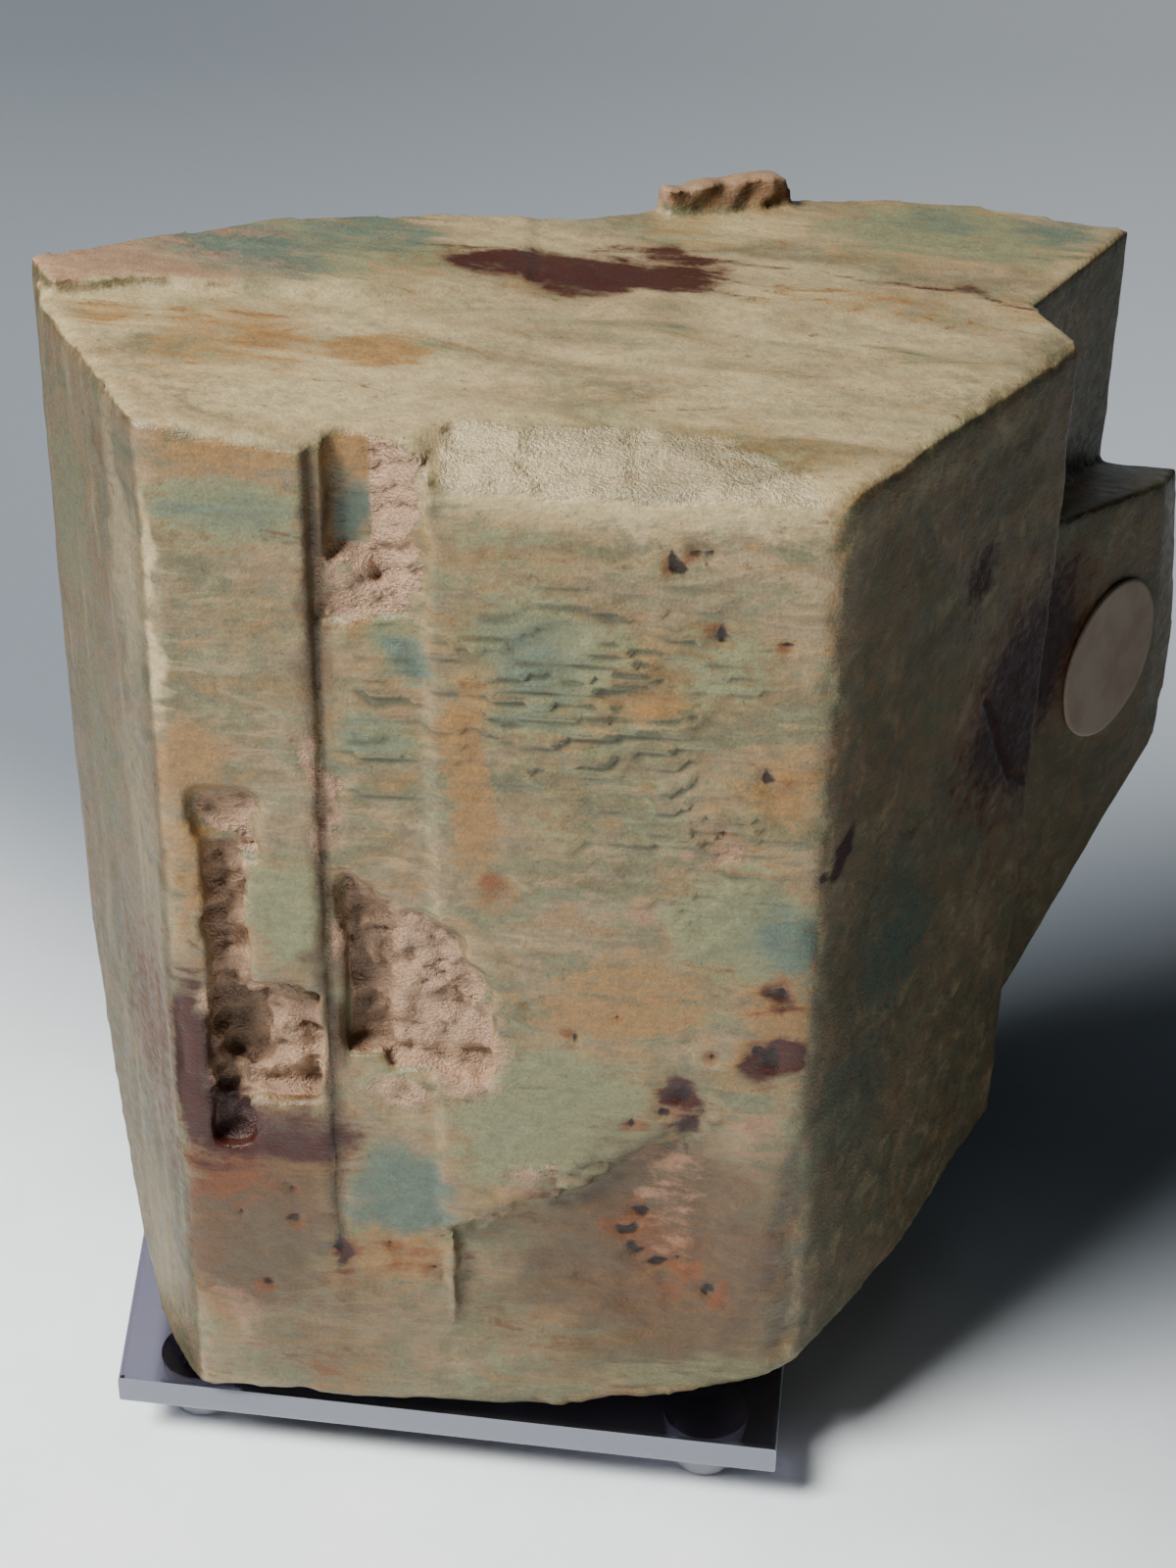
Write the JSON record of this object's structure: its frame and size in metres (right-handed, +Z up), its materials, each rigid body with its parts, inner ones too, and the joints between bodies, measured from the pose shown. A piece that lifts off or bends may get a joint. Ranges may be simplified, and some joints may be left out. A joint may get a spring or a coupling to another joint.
{
  "type": "rough beryl crystal specimen on clear display base",
  "caption": "Blocky natural crystal group with grooved, pitted faces and a blank round paper label, resting on a low clear plate with clear bumper feet.",
  "frame": {"origin": "on the surface that the feet stand on, below the middle of the bounding box", "axes": "+Z up; -Y towards the broad front face with the vertical grooves; +X towards the small labelled crystal"},
  "size_m": [0.1046, 0.0654, 0.1081],
  "materials": {
    "crystal": "waxy to rough, cream and tan streaked with green and rust",
    "paper": "matt, aged cream",
    "clear_plate": "clear polished acrylic",
    "clear_foot": "clear soft plastic"
  },
  "bodies": {
    "root": {"crystal": "crystal", "label": "paper", "stand_plate": "clear_plate", "stand_foot_front_left": "clear_foot", "stand_foot_front_right": "clear_foot", "stand_foot_back_right": "clear_foot", "stand_foot_back_left": "clear_foot"}
  },
  "joints": []
}
